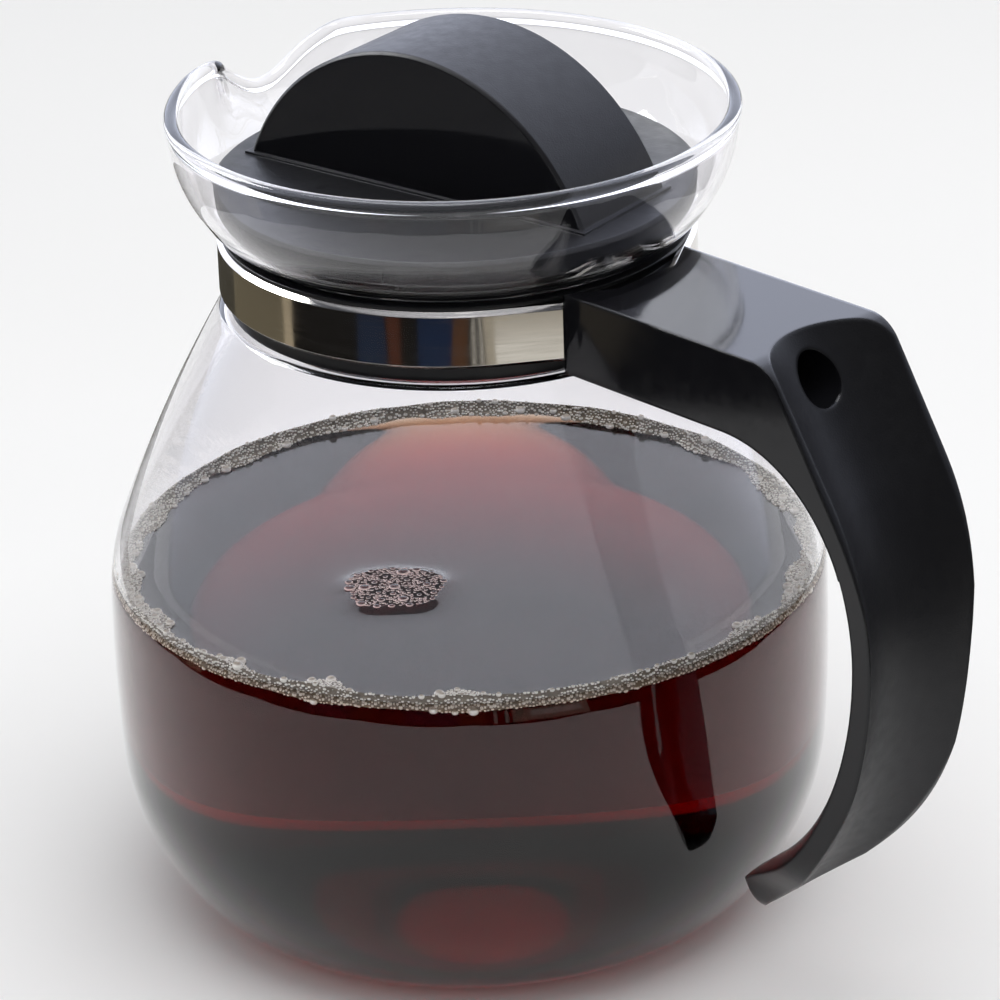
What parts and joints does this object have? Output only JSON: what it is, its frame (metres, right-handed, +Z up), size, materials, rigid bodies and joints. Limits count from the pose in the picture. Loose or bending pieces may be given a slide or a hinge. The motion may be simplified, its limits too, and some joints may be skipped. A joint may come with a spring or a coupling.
{
  "type": "glass coffee jug",
  "caption": "Round blown-glass coffee jug with a pouring lip, a metal band clamping a black gutter-section handle, and a drop-in lid with a half-round grip.",
  "frame": {"origin": "on the jug's axis, on the flat underside it rests on", "axes": "+Z up along the jug's axis, +X towards the handle, pouring lip on the -X side"},
  "size_m": [0.193, 0.144, 0.1808],
  "materials": {
    "glass": "clear blown borosilicate glass",
    "liner": "soft black moulded ring",
    "band": "bright rolled steel strap",
    "moulding": "black moulding, glossy flats and fine-grained outer faces",
    "fastener": "plain steel"
  },
  "bodies": {
    "jug": {"glass_jug": "glass", "neck_liner": "liner", "clamp_band": "band", "handle": "moulding", "clamp_bridge": "fastener", "clamp_screw": "fastener", "screw_washer": "fastener"},
    "lid": {"lid_top": "moulding", "lid_base": "moulding"}
  },
  "joints": [
    {"name": "lid_lift", "type": "slide", "parent": "jug", "child": "lid", "axis": [0, 0, 1], "range_m": [0, 0.05]}
  ]
}
